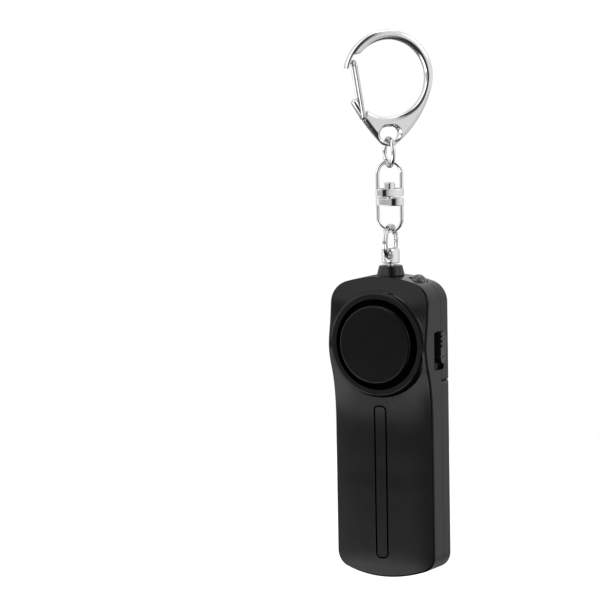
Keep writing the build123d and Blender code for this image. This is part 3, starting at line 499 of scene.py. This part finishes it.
def aroundRoom(levels):
    ramp = addNode(worldTree, "ShaderNodeValToRGB")
    stops = ramp.color_ramp.elements
    for index, (angle, level) in enumerate(levels):
        place = 0.5 + angle / 360
        stop = stops[index] if index < 2 else stops.new(place)  # a new ramp has two stops
        stop.position = place
        stop.color = (level, level, level, 1)
    worldTree.links.new(rampPlace, ramp.inputs["Fac"])
    return ramp.outputs["Color"]


def mixValues(factor, low, high):
    mix = addNode(worldTree, "ShaderNodeMix", data_type="FLOAT")
    worldTree.links.new(factor, mix.inputs["Factor"])
    feed(worldTree, mix.inputs["A"], low)
    feed(worldTree, mix.inputs["B"], high)
    return mix.outputs["Result"]


# The brightness so far turns into another level across an edge
def acrossEdge(edge, brightness, level):
    step = addNode(worldTree, "ShaderNodeMapRange", interpolation_type="SMOOTHSTEP")
    step.inputs["From Min"].default_value, step.inputs["From Max"].default_value = edge
    worldTree.links.new(axes.outputs["Z"], step.inputs["Value"])
    return mixValues(step.outputs["Result"], brightness, level)


brightness = aroundRoom(room["walls"])
brightness = acrossEdge(room["tableEdge"], brightness, aroundRoom(room["table"]))
brightness = acrossEdge(room["ceilingEdge"], brightness, aroundRoom(room["ceiling"]))
brightness = acrossEdge(room["underEdge"], brightness, room["under"])
rays = addNode(worldTree, "ShaderNodeLightPath")
share = mixValues(rays.outputs["Is Diffuse Ray"], 1.0, room["matteShare"])
roomStrength = treeMath(worldTree, "MULTIPLY", brightness, share)
roomLight = worldTree.nodes["Background"]
roomLight.inputs["Color"].default_value = (1, 1, 1, 1)
worldTree.links.new(roomStrength, roomLight.inputs["Strength"])
# The camera itself sees plain white
backdrop = addNode(worldTree, "ShaderNodeBackground", {"Color": (1, 1, 1, 1), "Strength": 1.0})
whiteBackdrop = addNode(worldTree, "ShaderNodeMixShader")
worldTree.links.new(rays.outputs["Is Camera Ray"], whiteBackdrop.inputs["Fac"])
worldTree.links.new(roomLight.outputs["Background"], whiteBackdrop.inputs[1])
worldTree.links.new(backdrop.outputs["Background"], whiteBackdrop.inputs[2])
worldSurface = worldTree.nodes["World Output"].inputs["Surface"]
worldTree.links.new(whiteBackdrop.outputs["Shader"], worldSurface)
print("room")


# Soft lights that face the middle of the alarm: width and height, place, power in watts
softLights = {
    "keyLight": ((0.4, 0.6), (1.1, 0.15, 0.5), 1.6),
    "fillLight": ((0.4, 0.8), (-1.0, -0.4, 0.3), 0.8),
    "topLight": ((0.6, 0.4), (0.0, 0.2, 0.9), 1.5),
}
middle = (lowest + highest) / 2
for name, (size, place, power) in softLights.items():
    lamp = bpy.data.lights.new(name, "AREA")
    lamp.shape = "RECTANGLE"
    lamp.size, lamp.size_y = size
    lamp.energy = power
    light = bpy.data.objects.new(name, lamp)
    light.location = place
    light.rotation_euler = (middle - Vector(place)).to_track_quat("-Z", "Y").to_euler()
    bpy.context.collection.objects.link(light)
print("lights")


# Camera at the photograph's three-quarter view. The origin of the frame, on the inside of
# the hook's crown, shows at this column and row of a picture of framePixels.
shot = {
    "azimuth": radians(29.7), "elevation": radians(6.5), "roll": radians(-1.05),
    "distance": 0.9, "sensorWidth": 36.0, "clip": (0.05, 50.0),
    "framePixels": 600, "pixelSize": 0.2884 * mm, "column": 387.3, "row": 39.3,
}
cameraData = bpy.data.cameras.new("camera")
cameraData.sensor_width = shot["sensorWidth"]
frameWidth = shot["framePixels"] * shot["pixelSize"]
cameraData.lens = shot["sensorWidth"] * shot["distance"] / frameWidth
cameraData.clip_start, cameraData.clip_end = shot["clip"]
camera = bpy.data.objects.new("camera", cameraData)
bpy.context.collection.objects.link(camera)
back = Vector((
    sin(shot["azimuth"]) * cos(shot["elevation"]),
    -cos(shot["azimuth"]) * cos(shot["elevation"]),
    sin(shot["elevation"]),
))
turn = (-back).to_track_quat("-Z", "Y").to_matrix()
turn = turn @ Matrix.Rotation(shot["roll"], 3, "Z")
offsetRight = (shot["column"] - shot["framePixels"] / 2) * shot["pixelSize"]
offsetUp = (shot["framePixels"] / 2 - shot["row"]) * shot["pixelSize"]
camera.location = back * shot["distance"] - turn @ Vector((offsetRight, offsetUp, 0))
camera.rotation_euler = turn.to_euler()
bpy.context.scene.camera = camera
bpy.context.scene.view_settings.view_transform = "Standard"
print("camera")
